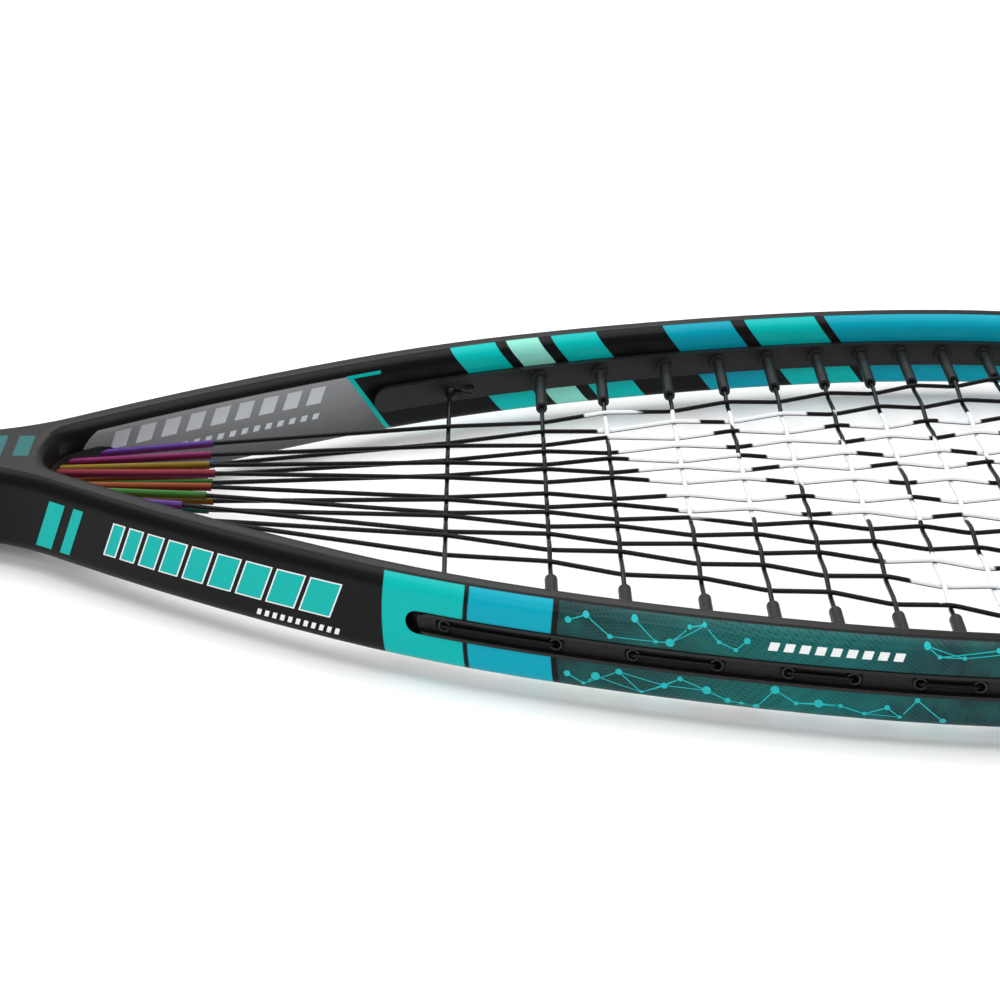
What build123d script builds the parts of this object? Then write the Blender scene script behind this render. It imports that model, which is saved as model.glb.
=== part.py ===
from build123d import *
import math
import os

os.makedirs("parts", exist_ok=True)

# ---------------------------------------------------------------- driving dimensions (mm)
LENGTH = 558.8            # overall length, butt face to tip
X_TIP = LENGTH / 2
X_BUTT = -LENGTH / 2
LIP = 0.35                # the lips of the outer strip stand this far proud of the beam
X_OUT = X_TIP - LIP
BEAM_H = 21.0             # beam height, normal to the string plane
OUT_W = 5.4               # centreline of the hoop to its outer face
IN_W = 4.6                # centreline of the hoop to its inner face
EDGE_R = 3.8              # rounding of the long edges of the beam
HALF_WIDTH = 115.64       # widest point of the hoop centreline
ARMS = [(258.0, 7.0), (322.6, 5.0), (487.0, 8.0), (277.1, 10.0), (603.8, 8.0)]  # radius, turn, widest point to throat
HEAD = [(150.0, 25.0), (95.0, 40.0), (131.66, 25.0)]                             # radius, turn, widest point to tip
NECK_W = 12.5             # half width of the neck
NECK_R = 60.0             # concave radius where neck meets arm
APEX_R = 30.0             # throat apex radius
APEX_CORNER = 12.0        # throat corner radius
APEX_X = -94.3
SHAFT_HW, SHAFT_HH = 10.7, 8.75
ZC = 15.0                 # height of the string plane above the rest plane

STRING_D = 1.2
STRING_R = STRING_D / 2
WEAVE = 0.63              # string centre off the string plane at a crossing
CROSS_X = [7.6, 33.1, 50.4, 69.0, 84.7, 99.0, 113.4, 126.5, 138.4,
           150.4, 162.6, 175.0, 187.8, 203.0, 228.5, 246.6]
MAIN_X0 = 75.7
MAIN_Y = [61.8, 49.7, 39.8, 30.9, 22.0, 14.4, 6.0]
MAIN_M = [0.270, 0.231, 0.166, 0.144, 0.087, 0.063, 0.0095]
MAIN_PAR = [8.4, 6.0, 6.0, 3.6, 3.6, 1.2, 1.2]
LAYER_Z = 1.6             # the two layers of tubes sit this far above and below the string plane
TUBE_R, TUBE_BORE = 1.05, 0.70
TUBE_END = [-54.6, -53.8, -54.4, -54.8, -54.2, -53.0, -52.2, -52.4, -51.8, -53.2, -52.6, -58.6, -59.2, -58.2]
TUBE_IN = -128.0
BEND_A, BEND_B = -97.0, -124.0
GROOVE_D, GROOVE_H = 2.4, 5.6
LOOP_IN = 0.75            # string centre below the outer face, in the groove
STEM_R, STEM_BORE, STEM_LEN = 1.55, 0.80, 27.5
HOLE_R = 1.65
STRIP_T, STRIP_H = 2.6, 6.6
PIN_X = -271.5
SHAFT_END = -268.0


# ---------------------------------------------------------------- outline helpers
def arc_pts(x, y, head, r, turn):
    """end point and middle point of an arc that starts at x, y with heading head; turn is signed"""
    s = 1.0 if turn > 0 else -1.0
    cx, cy = x - s * r * math.sin(head), y + s * r * math.cos(head)
    out = []
    for f in (0.5, 1.0):
        h = head + turn * f
        out.append((cx + s * r * math.sin(h), cy - s * r * math.cos(h)))
    return out[0], out[1], head + turn


def centre_chain():
    """widest point, then points and headings towards the tip and towards the throat"""
    x_tip = X_OUT - OUT_W
    dx = 0.0
    a = 0.0
    for r, t in HEAD:
        dx += r * (math.sin(math.radians(a + t)) - math.sin(math.radians(a)))
        a += t
    return x_tip - dx, HALF_WIDTH


WX, WY = centre_chain()


def solve_apex(off, apex_x, r1, r2, line_pt, slope_deg):
    """angle where the apex arc hands over to the corner arc so that the corner ends on the arm line"""
    s = math.radians(slope_deg)
    end = math.pi / 2 - s
    lo, hi = 0.0, end
    for _ in range(60):
        m = (lo + hi) / 2
        x = apex_x + r1 * (1 - math.cos(m)) + r2 * (math.cos(m) - math.cos(end))
        y = r1 * math.sin(m) + r2 * (math.sin(end) - math.sin(m))
        if y < line_pt[1] + math.tan(s) * (x - line_pt[0]):
            lo = m
        else:
            hi = m
    return lo, (x, y), end


def head_arcs(off):
    """(start, mid, end) of the arcs of one side, from the throat end of the arm to the tip, y > 0"""
    segs = []
    x, y, h = WX, WY + off, 0.0
    back = []
    for r, t in ARMS:
        rr = r + off
        # walk backwards: heading rises as x falls
        a0, a1 = math.radians(h), math.radians(h + t)
        am = (a0 + a1) / 2
        cx, cy = x + rr * math.sin(a0), y - rr * math.cos(a0)
        p = lambda a: (cx - rr * math.sin(a), cy + rr * math.cos(a))
        back.append((p(a1), p(am), p(a0)))
        x, y = p(a1)
        h += t
    segs = back[::-1]
    x, y, h = WX, WY + off, 0.0
    for r, t in HEAD:
        rr = r + off
        a0, a1 = math.radians(h), math.radians(h + t)
        am = (a0 + a1) / 2
        cx, cy = x - rr * math.sin(a0), y - rr * math.cos(a0)
        p = lambda a: (cx + rr * math.sin(a), cy + rr * math.cos(a))
        segs.append((p(a0), p(am), p(a1)))
        x, y = p(a1)
        h += t
    last = segs[-1]
    segs[-1] = (last[0], last[1], (last[2][0], 0.0))
    return segs


SLOPE = sum(t for _, t in ARMS)


def face_of(segs):
    """closed face from the upper half chain of segments and its mirror image"""
    edges = []
    for s in segs:
        pts = [Vector(px, py, 0) for px, py in s]
        edges.append(Line(pts[0], pts[1]).edge() if len(pts) == 2 else ThreePointArc(*pts).edge())
    for s in reversed(segs):
        pts = [Vector(px, -py, 0) for px, py in s][::-1]
        edges.append(Line(pts[0], pts[1]).edge() if len(pts) == 2 else ThreePointArc(*pts).edge())
    pts = [segs[0][0], (segs[0][0][0], -segs[0][0][1])]
    if abs(pts[0][1]) > 1e-6:
        edges.append(Line(Vector(*pts[1], 0), Vector(*pts[0], 0)).edge())
    return Face(Wire(edges))


def outer_face(off, w, r_neck, x_end):
    segs = head_arcs(off)
    x0, y0 = segs[0][0]
    s = math.radians(SLOPE)
    yt = w + r_neck * (1 - math.cos(s))
    xt = x0 - (y0 - yt) / math.tan(s)
    xs = xt - r_neck * math.sin(s)
    mid = (xs + r_neck * math.sin(s / 2), w + r_neck * (1 - math.cos(s / 2)))
    first = [((x_end, w), (xs, w)), ((xs, w), mid, (xt, yt)), ((xt, yt), (x0, y0))]
    return face_of(first + segs)


def inner_face(off, apex_x, r1, r2):
    segs = head_arcs(off)
    x0, y0 = segs[0][0]
    a, p2, end = solve_apex(off, apex_x, r1, r2, (x0, y0), SLOPE)
    c1 = apex_x + r1
    p1 = (c1 - r1 * math.cos(a), r1 * math.sin(a))
    m1 = (c1 - r1 * math.cos(a / 2), r1 * math.sin(a / 2))
    c2 = (p1[0] + r2 * math.cos(a), p1[1] - r2 * math.sin(a))
    am = (a + end) / 2
    m2 = (c2[0] - r2 * math.cos(am), c2[1] + r2 * math.sin(am))
    p2 = (c2[0] - r2 * math.cos(end), c2[1] + r2 * math.sin(end))
    first = [((apex_x, 0.0), m1, p1), (p1, m2, p2), (p2, (x0, y0))]
    return face_of(first + segs)


def slab(face, z0, z1):
    return Pos(0, 0, z0) * extrude(face, z1 - z0, dir=(0, 0, 1))


# point on the offset hoop outline, upper side, at a given x beyond the throat (by bisection on the arcs)
def hoop_samples(off, n=60):
    out = []
    for s in head_arcs(off):
        (x0, y0), (xm, ym), (x1, y1) = s
        d = 2 * (x0 * (ym - y1) + xm * (y1 - y0) + x1 * (y0 - ym))
        ux = ((x0**2 + y0**2) * (ym - y1) + (xm**2 + ym**2) * (y1 - y0) + (x1**2 + y1**2) * (y0 - ym)) / d
        uy = ((x0**2 + y0**2) * (x1 - xm) + (xm**2 + ym**2) * (x0 - x1) + (x1**2 + y1**2) * (xm - x0)) / d
        r = math.hypot(x0 - ux, y0 - uy)
        a0, a1 = math.atan2(y0 - uy, x0 - ux), math.atan2(y1 - uy, x1 - ux)
        for k in range(n):
            a = a0 + (a1 - a0) * k / n
            out.append((ux + r * math.cos(a), uy + r * math.sin(a)))
    out.append(head_arcs(off)[-1][2])
    return out


def y_at(off, x):
    p = hoop_samples(off)
    for (xa, ya), (xb, yb) in zip(p, p[1:]):
        if xa <= x <= xb:
            return ya + (yb - ya) * (x - xa) / (xb - xa)
    raise ValueError(x)


def hit(off, k):
    """where main k (0..6, upper side) meets the offset outline"""
    p = hoop_samples(off)
    f = lambda q: q[1] - (MAIN_Y[k] + MAIN_M[k] * (q[0] - MAIN_X0))
    for a, b in zip(p, p[1:]):
        if f(a) > 0 >= f(b) and a[0] > 120:
            t = f(a) / (f(a) - f(b))
            return (a[0] + (b[0] - a[0]) * t, a[1] + (b[1] - a[1]) * t)
    raise ValueError(k)


def along(off, xa, ya, xb, yb, step=11.0):
    """points on the offset outline strictly between two points of it, upper side"""
    p = hoop_samples(off)
    ia = min(range(len(p)), key=lambda i: (p[i][0] - xa)**2 + (p[i][1] - ya)**2)
    ib = min(range(len(p)), key=lambda i: (p[i][0] - xb)**2 + (p[i][1] - yb)**2)
    L = math.hypot(xb - xa, yb - ya)
    n = int(L // step)
    return [p[round(ia + (ib - ia) * (q + 1) / (n + 1))] for q in range(n)]


# ---------------------------------------------------------------- rod along a path with tangent arcs
def clean(pts):
    out = [Vector(*pts[0])]
    for q in pts[1:]:
        q = Vector(*q)
        if (q - out[-1]).length > 0.02:
            out.append(q)
    return out


def path_parts(pts, radii):
    """straight runs ("L", p, q) and tangent arcs ("A", p, q, centre, axis, angle) through the vertices"""
    pts = clean(pts)
    n = len(pts)
    if not isinstance(radii, list):
        radii = [radii] * n
    ang = [0.0] * n
    tl = [0.0] * n
    for i in range(1, n - 1):
        a, b = (pts[i] - pts[i - 1]).normalized(), (pts[i + 1] - pts[i]).normalized()
        ang[i] = math.atan2(a.cross(b).length, a.dot(b))
        tl[i] = radii[i] * math.tan(ang[i] / 2) if ang[i] > 1e-4 else 0.0
    lim = list(tl)
    for i in range(1, n - 1):
        la, lb = (pts[i] - pts[i - 1]).length, (pts[i + 1] - pts[i]).length
        ka = la * tl[i] / (tl[i] + tl[i - 1]) if tl[i] else 0.0
        kb = lb * tl[i] / (tl[i] + tl[i + 1]) if tl[i] else 0.0
        lim[i] = min(tl[i], 0.995 * ka, 0.995 * kb)
    parts = []
    cur = pts[0]
    for i in range(1, n - 1):
        if lim[i] < 1e-5:
            continue
        a, b = (pts[i] - pts[i - 1]).normalized(), (pts[i + 1] - pts[i]).normalized()
        p, q = pts[i] - a * lim[i], pts[i] + b * lim[i]
        r = lim[i] / math.tan(ang[i] / 2)
        if r < 0.8:
            print("tight bend", round(r, 3), [round(c, 2) for c in pts[i]], round(math.degrees(ang[i]), 1))
        axis = a.cross(b).normalized()
        centre = p + axis.cross(a).normalized() * r
        parts.append(("L", cur, p))
        parts.append(("A", p, q, centre, axis, ang[i]))
        cur = q
    parts.append(("L", cur, pts[-1]))
    return parts


def turn(v, axis, angle):
    c, s = math.cos(angle), math.sin(angle)
    return v * c + axis.cross(v) * s + axis * (axis.dot(v) * (1 - c))


def rod(pts, radii, r, bore=0.0):
    """round rod along the vertices: cylinders and torus pieces that share their end circles"""
    parts = path_parts(pts, radii)
    t = (parts[0][2] - parts[0][1]).normalized()
    x = t.cross(Vector(0, 0, 1) if abs(t.Z) < 0.9 else Vector(1, 0, 0)).normalized()
    faces = []
    start = parts[0][1]
    faces.append(Face(Wire([Edge.make_circle(r, Plane(origin=start, x_dir=x, z_dir=t))])))
    for p in parts:
        if p[0] == "L" and (p[2] - p[1]).length < 1e-7:
            continue
        ring = Edge.make_circle(r, Plane(origin=p[1], x_dir=x, z_dir=t))
        if p[0] == "L":
            faces.append(Face.extrude(ring, p[2] - p[1]))
        else:
            _, _, _, centre, axis, angle = p
            faces.append(Face.revolve(ring, math.degrees(angle), Axis(centre, axis)))
            t, x = turn(t, axis, angle).normalized(), turn(x, axis, angle).normalized()
    faces.append(Face(Wire([Edge.make_circle(r, Plane(origin=parts[-1][2], x_dir=x, z_dir=t))])))
    solid = Solid(Shell(faces))
    if solid.volume < 0:
        solid = Solid(Shell([f for f in faces])).fix()
    if bore:
        solid = solid - rod(pts, radii, bore)
    return solid


def bar(p, q, r):
    p, q = Vector(*p), Vector(*q)
    d = q - p
    return Plane(origin=p, z_dir=d.normalized()) * Cylinder(r, d.length, align=(Align.CENTER, Align.CENTER, Align.MIN))


def octagon(w, h, c, x0, x1, r=0.0):
    a, b = w / 2, h / 2
    pts = [(-a + c, -b), (a - c, -b), (a, -b + c), (a, b - c), (a - c, b), (-a + c, b), (-a, b - c), (-a, -b + c)]
    f = Plane(origin=(x0, 0, 0), x_dir=(0, 1, 0), z_dir=(1, 0, 0)) * make_face(Polyline(*pts, close=True))
    s = extrude(f, x1 - x0, dir=(1, 0, 0))
    if r:
        s = fillet(s.edges().filter_by(Axis.X), r)
    return s


def rrect(w, h, r, x0, x1):
    f = Plane(origin=(x0, 0, 0), x_dir=(0, 1, 0), z_dir=(1, 0, 0)) * RectangleRounded(w, h, r)
    return extrude(f, x1 - x0, dir=(1, 0, 0))


nodes = {}

# ---------------------------------------------------------------- strings: crossings and paths
def main_xy(j, x):
    """y of main j (1..14, 1 on the +Y side) at x"""
    k = j - 1 if j <= 7 else 14 - j
    s = 1 if j <= 7 else -1
    return s * (MAIN_Y[k] + MAIN_M[k] * (x - MAIN_X0))


def layer(j):
    return LAYER_Z if (j % 2 == 1) == (j <= 7) else -LAYER_Z


def over(i, j):
    """main j lies over cross i"""
    return (i + j) % 2 == 0


# the two halves are not mirror images: the weave alternates all the way across,
# so the tube layer of mains 8..14 follows their own first crossing
def tube_z(j):
    return layer(j)


cross_in = [y_at(-IN_W, x) for x in CROSS_X]
crossing = {}
for i, x in enumerate(CROSS_X, 1):
    for j in range(1, 15):
        y = main_xy(j, x)
        k = j - 1 if j <= 7 else 14 - j
        if x < hit(-IN_W, k)[0] - 1.5 and abs(y) < cross_in[i - 1] - 2.8:
            crossing[(i, j)] = y
stem_tip = []
for i, x in enumerate(CROSS_X, 1):
    if i == 1:
        stem_tip.append(cross_in[0] - 0.0)
        continue
    outermost = max(abs(main_xy(j, x)) for j in range(1, 15) if (i, j) in crossing)
    stem_tip.append(cross_in[i - 1] - min(STEM_LEN, max(cross_in[i - 1] - outermost - 2.6, 0.3)))


def weave(seq, first, last):
    """seq: (s, sign) along the string; first and last: (s, z) at the ends.  Returns z of each vertex and its radius"""
    amp = [WEAVE] * len(seq)
    rad = [6.0] * len(seq)
    for _ in range(3):
        zs = [first[1]] + [sg * a for (_, sg), a in zip(seq, amp)] + [last[1]]
        ss = [first[0]] + [s for s, _ in seq] + [last[0]]
        for n in range(len(seq)):
            d0, d1 = abs(ss[n + 1] - ss[n]), abs(ss[n + 2] - ss[n + 1])
            b0, b1 = math.atan((zs[n + 1] - zs[n]) / d0), math.atan((zs[n + 2] - zs[n + 1]) / d1)
            beta = max(abs(b0 - b1) / 2, 0.004)
            t = min(2.0, 0.40 * min(d0, d1))
            rad[n] = t / math.tan(beta)
            amp[n] = WEAVE + t * math.tan(beta / 2)
    return amp, rad


D_LOOP = OUT_W - LOOP_IN


# main string: 14 runs, loops at the tip in the groove, loops at the butt round the pin
def main_run(j):
    """vertices of run j from the butt end to the hole at the tip, with radii"""
    k = j - 1 if j <= 7 else 14 - j
    s = 1 if j <= 7 else -1
    z = tube_z(j)
    yp = s * MAIN_PAR[k]
    pts = [((BEND_B, yp, z), 25.0), ((BEND_A, main_xy(j, BEND_A), z), 25.0),
           ((TUBE_END[j - 1] + 0.6, main_xy(j, TUBE_END[j - 1] + 0.6), z), 20.0)]
    seq = [(CROSS_X[i - 1], 1 if over(i, j) else -1) for i in range(1, len(CROSS_X) + 1) if (i, j) in crossing]
    hi = hit(-IN_W - 0.4, k)
    amp, rad = weave(seq, (TUBE_END[j - 1] + 0.6, z), (hi[0], 0.0))
    for (x, sg), a, r in zip(seq, amp, rad):
        pts.append(((x, main_xy(j, x), sg * a), r))
    pts.append(((hi[0], s * hi[1], 0.0), 15.0))
    ho = hit(D_LOOP, k)
    pts.append(((ho[0], s * ho[1], 0.0), 0.95))
    return pts


LOOP_Z = 1.25


def groove_link(pa, pb, side, z):
    """vertices in the outer groove between two exits, both given on the loop line"""
    ax, ay, bx, by = pa[0], abs(pa[1]), pb[0], abs(pb[1])
    mid = along(D_LOOP, ax, ay, bx, by)
    p = hoop_samples(D_LOOP)
    L = math.hypot(bx - ax, by - ay)
    if z == 0.0:
        return [((x, side * y, 0.0), 8.0) for x, y in mid]
    ia = min(range(len(p)), key=lambda i: (p[i][0] - ax)**2 + (p[i][1] - ay)**2)
    ib = min(range(len(p)), key=lambda i: (p[i][0] - bx)**2 + (p[i][1] - by)**2)
    f = 3.0 / L
    qa, qb = p[round(ia + (ib - ia) * f)], p[round(ib + (ia - ib) * f)]
    return [((qa[0], side * qa[1], z), 1.5)] + [((x, side * y, z), 8.0) for x, y in mid if
            math.hypot(x - qa[0], y - qa[1]) > 3 and math.hypot(x - qb[0], y - qb[1]) > 3] + [((qb[0], side * qb[1], z), 1.5)]


loop_x = PIN_X - LAYER_Z
path = []
hook = [((PIN_X + 14.0, MAIN_PAR[0], -LAYER_Z), 1.0), ((loop_x, MAIN_PAR[0], -LAYER_Z), LAYER_Z - 0.02), ((loop_x, MAIN_PAR[0], LAYER_Z), LAYER_Z - 0.02)]
path += hook
for j in range(1, 15):
    run = main_run(j)
    if j % 2 == 1:
        path += run
        k = j - 1 if j <= 7 else 14 - j
        a = run[-1][0]
        b = main_run(j + 1)[-1][0]
        if j == 7:
            # the two centre runs: the loop crosses the axis at the very tip
            path += [((X_OUT - LOOP_IN, 0.0, 0.0), 60.0)]
        else:
            path += groove_link(a, b, 1 if j < 7 else -1, LOOP_Z)
    else:
        path += run[::-1]
        k = j - 1 if j <= 7 else 14 - j
        s = 1 if j <= 7 else -1
        yp = s * MAIN_PAR[k]
        z = tube_z(j)
        if j < 14:
            path += [((loop_x, yp, z), LAYER_Z - 0.02), ((loop_x, yp, -z), LAYER_Z - 0.02)]
        else:
            path += [((loop_x, yp, z), LAYER_Z - 0.02), ((loop_x, yp, -z), LAYER_Z - 0.02), ((PIN_X + 14.0, yp, -z), 1.0)]
main_string = rod([p for p, _ in path], [r for _, r in path], STRING_R)
nodes["main_string"] = main_string

# cross string
KNOT_DX = 6.0
TIE_X = CROSS_X[0] + KNOT_DX
tie_in, tie_out = y_at(-IN_W, TIE_X), y_at(D_LOOP, TIE_X)
path = [((CROSS_X[0] + 3.1, cross_in[0] - 4.6, 0.0), 1.0), ((TIE_X, tie_in - 3.6, 0.0), 1.5),
        ((TIE_X, tie_out, 0.0), 0.95)]
for i, x in enumerate(CROSS_X, 1):
    up = (i % 2 == 1)                      # run goes from +Y to -Y
    d = 1 if up else -1
    yo = y_at(D_LOOP, x)
    seq = [(y, -1 if over(i, j) else 1) for (ii, j), y in crossing.items() if ii == i]
    seq.sort(key=lambda q: -q[0] * d)
    tip_y = stem_tip[i - 1] if i > 1 else cross_in[0] - STRIP_T - 0.5
    amp, rad = weave([(-y * d, sg) for y, sg in seq], (-tip_y, 0.0), (tip_y, 0.0))
    path.append(((x, d * yo, 0.0), 0.95))
    path.append(((x, d * tip_y, 0.0), 12.0))
    for (y, sg), a, r in zip(seq, amp, rad):
        path.append(((x, y, sg * a), r))
    path.append(((x, -d * tip_y, 0.0), 12.0))
    path.append(((x, -d * yo, 0.0), 0.95))
    if i < len(CROSS_X):
        xn = CROSS_X[i]
        z = 0.0 if i < 13 else -LOOP_Z
        path += groove_link((x, yo), (xn, y_at(D_LOOP, xn)), -d, z)
END_X = CROSS_X[-1] + 5.0
side = -d
end_out, end_in = y_at(D_LOOP, END_X), y_at(-IN_W, END_X)
path += [((END_X - 2.0, side * y_at(D_LOOP, END_X - 2.0), -LOOP_Z), 1.0)]
cross_string = rod([p for p, _ in path], [r for _, r in path], STRING_R)
nodes["cross_string"] = cross_string
print("strings built", main_string.volume / (math.pi * STRING_R**2), cross_string.volume / (math.pi * STRING_R**2))

# ---------------------------------------------------------------- frame
hh = BEAM_H / 2
hoop = slab(outer_face(OUT_W, NECK_W, NECK_R, -133.0), -hh, hh) - slab(inner_face(-IN_W, APEX_X, APEX_R, APEX_CORNER), -hh - 1, hh + 1)
long_edges = [e for e in hoop.edges() if abs(abs(e.center().Z) - hh) < 1e-3 and e.center().X > -132.5]
hoop = fillet(long_edges, EDGE_R)
shaft = octagon(2 * SHAFT_HW, 2 * SHAFT_HH, 4.6, SHAFT_END, -125.0)
hollow = slab(outer_face(1.5, 10.4, NECK_R, -131.0), -8.7, 8.7) - slab(inner_face(-2.9, APEX_X - 1.7, APEX_R + 1.7, APEX_CORNER + 1.7), -10, 10)
shaft_bore = octagon(18.8, 13.5, 3.0, SHAFT_END - 1.0, -128.0)
bays = slab(outer_face(3.6, 10.4, NECK_R, -131.0), 4.3, 8.7) - slab(inner_face(-3.2, APEX_X - 1.5, APEX_R + 1.5, APEX_CORNER + 1.5), -10, 10)
frame = (hoop + shaft) - hollow - shaft_bore - bays - mirror(bays, about=Plane.XY)

# throat slot for the tubes
slot = Pos(-95.5, 0, 0) * Box(33.0, 42.0, 7.2)
slot = fillet(slot.edges().filter_by(Axis.X), 2.5)
slot = slot & (slab(inner_face(-2.5, APEX_X - 2.1, APEX_R + 2.1, APEX_CORNER + 2.1), -4, 4) -
               slab(inner_face(-IN_W - 1.5, APEX_X + 1.5, APEX_R - 1.5, APEX_CORNER - 1.5), -5, 5))
frame = frame - slot

# outer groove, from just before the first cross round the tip to the other side
GROOVE_X = -1.0
ring = slab(outer_face(OUT_W + 3.0, NECK_W + 3.0, NECK_R - 3.0, -133.0), -GROOVE_H / 2, GROOVE_H / 2) - \
    slab(outer_face(OUT_W - GROOVE_D, NECK_W - GROOVE_D, NECK_R, -133.0), -GROOVE_H, GROOVE_H)
cutter = Pos(GROOVE_X + 200, 0, 0) * Box(400, 300, GROOVE_H)
cutter = fillet([e for e in cutter.edges().filter_by(Axis.Y) if abs(e.center().X - GROOVE_X) < 0.1], GROOVE_H / 2 - 0.2)
frame = frame - (ring & cutter)

# string holes
holes = []
for i, x in enumerate(CROSS_X, 1):
    yi = cross_in[i - 1]
    for s in (1, -1):
        holes.append(bar((x, s * (yi - 6), 0), (x, s * (yi + 17), 0), HOLE_R))
holes.append(bar((TIE_X, tie_in - 6, 0), (TIE_X, tie_in + 17, 0), HOLE_R))
tip_dir = []
for k in range(7):
    a, b = hit(-IN_W, k), hit(D_LOOP, k)
    L = math.hypot(b[0] - a[0], b[1] - a[1])
    u = ((b[0] - a[0]) / L, (b[1] - a[1]) / L)
    tip_dir.append((a, b, u, L))
    for s in (1, -1):
        holes.append(bar((a[0] - 6 * u[0], s * (a[1] - 6 * u[1]), 0), (b[0] + 5 * u[0], s * (b[1] + 5 * u[1]), 0), HOLE_R))
for h in holes:
    frame = frame - h
# channels that lead the two outermost tubes through the throat wall
for j in (1, 14):
    s = 1 if j == 1 else -1
    pts = [(TUBE_IN - 1.0, s * MAIN_PAR[0], tube_z(j)), (BEND_B, s * MAIN_PAR[0], tube_z(j)), (BEND_A, main_xy(j, BEND_A), tube_z(j)),
           (TUBE_END[j - 1], main_xy(j, TUBE_END[j - 1]), tube_z(j))]
    for a, b in zip(pts[:-1], pts[1:]):
        frame = frame - bar(a, b, TUBE_R + 0.3)
nodes["frame"] = frame

# ---------------------------------------------------------------- outer strip: channel in the groove
STRIP_X = 1.6
base = slab(outer_face(OUT_W - 1.42, NECK_W - 1.42, NECK_R, -133.0), -2.7, 2.7) - slab(outer_face(OUT_W - GROOVE_D + 0.02, NECK_W - GROOVE_D, NECK_R, -133.0), -3, 3)
lips = slab(outer_face(OUT_W + LIP, NECK_W + LIP, NECK_R, -133.0), 1.95, 2.7) - slab(outer_face(OUT_W - GROOVE_D + 0.02, NECK_W - GROOVE_D, NECK_R, -133.0), -3, 3)
cutter = Pos(STRIP_X + 200, 0, 0) * Box(400, 300, 5.4)
cutter = fillet([e for e in cutter.edges().filter_by(Axis.Y) if abs(e.center().X - STRIP_X) < 0.1], 2.5)
outer_strip = (base + lips + mirror(lips, about=Plane.XY)) & cutter
for h in holes:
    outer_strip = outer_strip - h
# barrels of the outer strip that line the holes in the frame
nodes["outer_strip"] = outer_strip

# ---------------------------------------------------------------- inner strips with stems
RIB_X0, RIB_X1 = -13.0, 200.0
def rib(x0, x1, s, height=STRIP_H, t=STRIP_T):
    f = slab(inner_face(-IN_W - 0.02, APEX_X, APEX_R, APEX_CORNER), -height / 2, height / 2) - \
        slab(inner_face(-IN_W - t, APEX_X + t, APEX_R - t, APEX_CORNER - t), -height, height)
    c = Pos((x0 + x1) / 2, s * 75, 0) * Box(x1 - x0, 150, 30)
    return f & c

for name, s in (("inner_strip_left", 1), ("inner_strip_right", -1)):
    body = rib(RIB_X0, RIB_X1, s)
    ends = [e for e in body.edges().filter_by(GeomType.LINE) if abs(e.center().X - RIB_X0) < 0.5 and e.length > STRIP_T * 0.8 and abs(abs(e.center().Z) - STRIP_H / 2) < 0.1]
    body = fillet(ends, STRIP_H / 2 - 0.3)
    for i, x in enumerate(CROSS_X, 1):
        if x > RIB_X1 - 2:
            continue
        yi = cross_in[i - 1]
        y_out = y_at(OUT_W - GROOVE_D, x) - 0.15
        if i > 1:
            body = body + bar((x, s * stem_tip[i - 1], 0), (x, s * y_out, 0), STEM_R)
            body = body + bar((x, s * (yi - STRIP_T - 1.6), 0), (x, s * (yi - 1.0), 0), STEM_R + 0.75)
        body = body - bar((x, s * (stem_tip[i - 1] - 5), 0), (x, s * (y_out + 5), 0), STEM_BORE)
    if s > 0:
        body = body - bar((TIE_X, tie_in - 8, 0), (TIE_X, tie_in + 10, 0), STEM_BORE)
    nodes[name] = body

# ---------------------------------------------------------------- tip strip with the barrels of the mains
f = slab(inner_face(-IN_W - 0.02, APEX_X, APEX_R, APEX_CORNER), -STRIP_H / 2, STRIP_H / 2) - \
    slab(inner_face(-IN_W - 1.8, APEX_X + 2, APEX_R - 2, APEX_CORNER - 2), -STRIP_H, STRIP_H)
tip = f & (Pos(200.6 + 50, 0, 0) * Box(100, 260, 30))
for k in range(7):
    a, b, u, L = tip_dir[k]
    g = hit(OUT_W - GROOVE_D, k)
    for s in (1, -1):
        tip = tip + bar((a[0] - 1.0 * u[0], s * (a[1] - 1.0 * u[1]), 0), (g[0] - 1.3 * u[0], s * (g[1] - 1.3 * u[1]), 0), STEM_R)
for i, x in enumerate(CROSS_X, 1):
    if x > RIB_X1 - 2:
        y_out = y_at(OUT_W - GROOVE_D, x) - 1.3
        for s in (1, -1):
            tip = tip + bar((x, s * stem_tip[i - 1], 0), (x, s * y_out, 0), STEM_R)
for k in range(7):
    a, b, u, L = tip_dir[k]
    for s in (1, -1):
        tip = tip - bar((a[0] - 8 * u[0], s * (a[1] - 8 * u[1]), 0), (b[0] + 3 * u[0], s * (b[1] + 3 * u[1]), 0), STEM_BORE)
        tip = tip - bar((a[0] - 8 * u[0], s * (a[1] - 8 * u[1]), 0), (a[0] - 0.3 * u[0], s * (a[1] - 0.3 * u[1]), 0), 1.4)
for i, x in enumerate(CROSS_X, 1):
    if x > RIB_X1 - 2:
        for s in (1, -1):
            tip = tip - bar((x, s * (stem_tip[i - 1] - 5), 0), (x, s * (cross_in[i - 1] + 17), 0), STEM_BORE)
            if cross_in[i - 1] - stem_tip[i - 1] < 3:
                tip = tip - bar((x, s * (stem_tip[i - 1] - 5), 0), (x, s * (cross_in[i - 1] - 0.2), 0), 1.4)
nodes["tip_strip"] = tip

# ---------------------------------------------------------------- tubes
for j in range(1, 15):
    k = j - 1 if j <= 7 else 14 - j
    s = 1 if j <= 7 else -1
    z = tube_z(j)
    yp = s * MAIN_PAR[k]
    pts = [(TUBE_IN, yp, z), (BEND_B, yp, z), (BEND_A, main_xy(j, BEND_A), z), (TUBE_END[j - 1], main_xy(j, TUBE_END[j - 1]), z)]
    nodes["string_tube_%02d" % j] = rod(pts, 25.0, TUBE_R, TUBE_BORE)

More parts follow.
